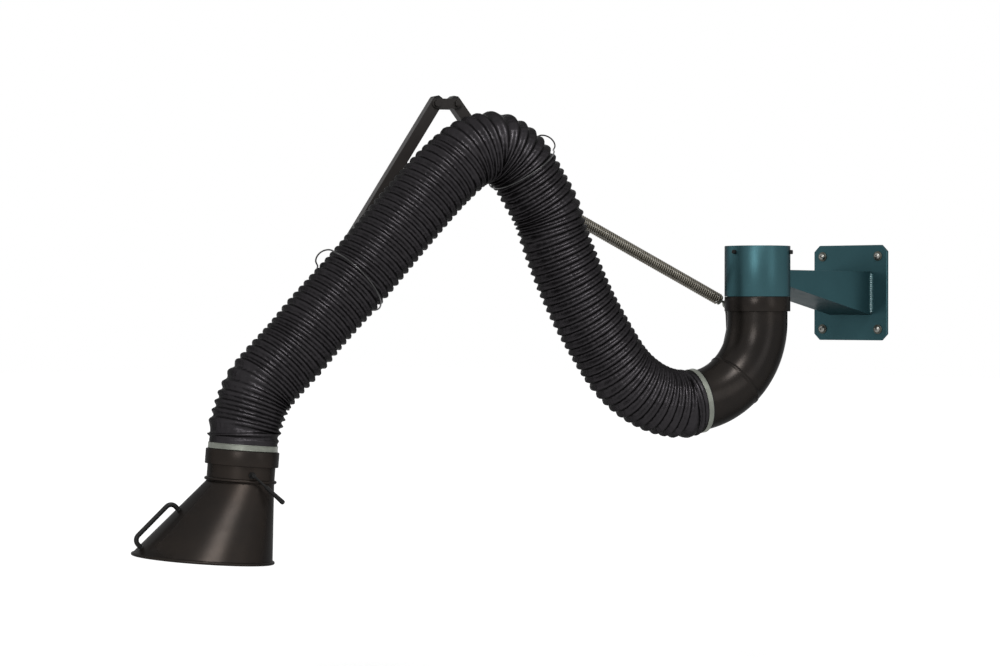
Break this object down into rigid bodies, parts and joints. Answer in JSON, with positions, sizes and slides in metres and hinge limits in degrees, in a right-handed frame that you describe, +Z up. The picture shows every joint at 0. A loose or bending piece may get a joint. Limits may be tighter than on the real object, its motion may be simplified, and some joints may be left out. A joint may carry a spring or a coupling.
{
  "type": "fume extraction arm",
  "caption": "Wall-mounted fume extraction arm: swivelling duct elbow, spring-balanced jointed bars carrying a ribbed hose, and a tilting, turning hood with a damper lever and handle.",
  "frame": {"origin": "centre of the wall plate's back face, on the wall", "axes": "+Y into the wall, +Z up, +X along the wall; the arm reaches out to -Y and is swung to -X as pictured"},
  "size_m": [0.9916, 2.027, 1.1719],
  "materials": {
    "teal_paint": "satin",
    "black_paint": "satin",
    "zinc": "satin",
    "hose_fabric": "satin",
    "black_plastic": "satin",
    "pale_plastic": "satin"
  },
  "bodies": {
    "wall_bracket": {"wall_plate": "teal_paint", "wall_bolt_1": "zinc", "wall_bolt_2": "zinc", "wall_bolt_3": "zinc", "wall_bolt_4": "zinc", "bracket_box": "teal_paint", "top_spigot": "teal_paint", "spigot_screw_1": "zinc", "spigot_screw_2": "zinc", "spigot_screw_3": "zinc", "glide_ring": "pale_plastic"},
    "swivel": {"hanger_ring": "zinc", "swivel_collar": "black_paint", "duct_elbow": "black_paint", "lower_hose_clamp": "zinc", "shoulder_plate": "black_paint", "shoulder_disc": "pale_plastic", "shoulder_bolt": "zinc", "spring_anchor_pin": "zinc"},
    "spring_root": {"spring_eye_low": "zinc", "balance_spring": "zinc"},
    "spring_tip": {"spring_eye_high": "zinc"},
    "lower_arm": {"lower_arm_tube": "black_paint", "lower_arm_foot_cap": "black_plastic", "lower_arm_top_cap": "black_plastic", "elbow_plate_front": "black_paint", "elbow_plate_back": "black_paint", "elbow_bolt_low": "zinc", "elbow_bolt_high": "zinc", "spring_lug": "black_paint", "hose_hoop_low": "black_plastic", "hose_shoulder": "hose_fabric", "hose_elbow": "hose_fabric"},
    "forearm": {"forearm_tube": "black_paint", "forearm_top_cap": "black_plastic", "forearm_foot_cap": "black_plastic", "hose_hoop_high": "black_plastic", "hose_wrist": "hose_fabric"},
    "hood_joint": {"wrist_ring": "black_paint", "hose_spigot": "zinc", "wrist_knob": "black_plastic", "upper_hose_clamp": "zinc"},
    "hood": {"hood_shell": "black_paint", "hood_handle": "black_plastic"},
    "damper": {"damper_blade": "zinc", "damper_lever": "zinc", "damper_grip": "black_plastic"}
  },
  "joints": [
    {"name": "swivel", "type": "hinge", "parent": "wall_bracket", "child": "swivel", "pos_m": [0, -0.48, 0], "axis": [0, 0, 1], "range_deg": [-28, 117]},
    {"name": "shoulder", "type": "hinge", "parent": "swivel", "child": "lower_arm", "pos_m": [-0.20266, -0.60682, -0.32], "axis": [0.891, -0.454, 0], "range_deg": [-18, 20], "deforming": ["hose_shoulder"]},
    {"name": "spring_swing", "type": "hinge", "parent": "swivel", "child": "spring_root", "pos_m": [-0.12094, -0.44643, -0.032], "axis": [0.891, -0.454, 0], "range_deg": [-18, 20]},
    {"name": "spring_stretch", "type": "slide", "parent": "spring_root", "child": "spring_tip", "axis": [-0.4061, -0.7969, 0.4472], "range_m": [-0.11, 0.12], "deforming": ["balance_spring"]},
    {"name": "elbow", "type": "hinge", "parent": "lower_arm", "child": "forearm", "pos_m": [-0.50956, -1.20914, 0.482], "axis": [0.891, -0.454, 0], "range_deg": [-30, 35], "deforming": ["hose_elbow"]},
    {"name": "wrist", "type": "hinge", "parent": "forearm", "child": "hood_joint", "pos_m": [-0.77015, -1.72058, -0.408], "axis": [0.891, -0.454, 0], "range_deg": [-40, 40], "deforming": ["hose_wrist"]},
    {"name": "hood_turn", "type": "hinge", "parent": "hood_joint", "child": "hood", "pos_m": [-0.6542, -1.76395, -0.405], "axis": [0.0372, 0.073, 0.9966], "continuous": true},
    {"name": "damper_turn", "type": "hinge", "parent": "hood", "child": "damper", "pos_m": [-0.65576, -1.76701, -0.44686], "axis": [0.891, -0.454, 0], "range_deg": [-13, 77]}
  ],
  "couplings": [
    {"joint": "spring_swing", "follows": "shoulder", "ratio": 0.95},
    {"joint": "spring_stretch", "follows": "shoulder", "m_per_rad": 0.332}
  ]
}
